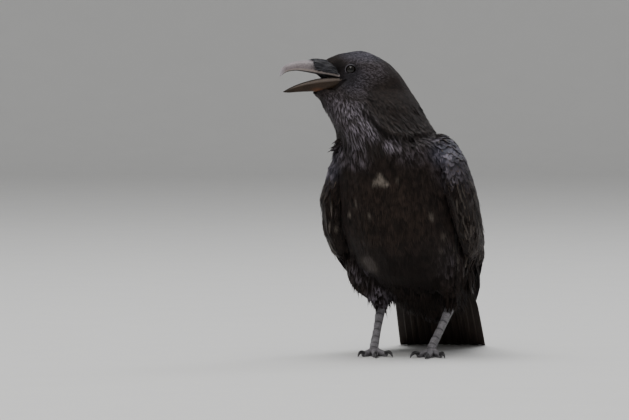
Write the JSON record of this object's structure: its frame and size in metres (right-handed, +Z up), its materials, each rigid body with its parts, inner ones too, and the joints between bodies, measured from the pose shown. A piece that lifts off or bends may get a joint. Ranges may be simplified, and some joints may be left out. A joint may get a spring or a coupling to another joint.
{
  "type": "raven",
  "caption": "Life-size standing raven, wings folded, head turned to its right with the bill open, resting on flat soles and the tip of its tail",
  "frame": {"origin": "middle of the whole bird's box at floor level, under the belly and just behind the feet", "axes": "breast faces -Y and the tail points to +Y; the bird's own left side is +X; +Z is up; the bill points towards -X and a little to -Y"},
  "size_m": [0.2062, 0.2992, 0.3345],
  "materials": {
    "body_plumage": "soft brown-black contour feathers",
    "throat_plumage": "lance-shaped throat feathers with a grey-violet sheen",
    "head_plumage": "short velvety black feathers",
    "wing_plumage": "overlapping coverts with a blue gloss",
    "flight_feathers": "long glossy black vanes",
    "bill_horn": "grey-brown horn, paler along the cutting edges",
    "eye": "wet, very dark brown",
    "leg_skin": "grey scales with dark joints",
    "claw_horn": "black horn, satin"
  },
  "bodies": {
    "root": {"trunk": "body_plumage", "neck": "throat_plumage", "head": "head_plumage", "nasal_bristles": "head_plumage", "rump": "body_plumage", "left_thigh": "body_plumage", "right_thigh": "body_plumage", "left_wing_coverts": "wing_plumage", "right_wing_coverts": "wing_plumage", "left_wing_secondaries": "flight_feathers", "right_wing_secondaries": "flight_feathers", "left_wing_primaries": "flight_feathers", "right_wing_primaries": "flight_feathers", "tail": "flight_feathers", "upper_bill": "bill_horn", "lower_bill": "bill_horn", "left_eye": "eye", "right_eye": "eye", "left_tarsus": "leg_skin", "right_tarsus": "leg_skin", "left_foot": "leg_skin", "right_foot": "leg_skin", "left_middle_claw": "claw_horn", "left_inner_claw": "claw_horn", "left_outer_claw": "claw_horn", "left_hind_claw": "claw_horn", "right_middle_claw": "claw_horn", "right_inner_claw": "claw_horn", "right_outer_claw": "claw_horn", "right_hind_claw": "claw_horn"}
  },
  "joints": []
}
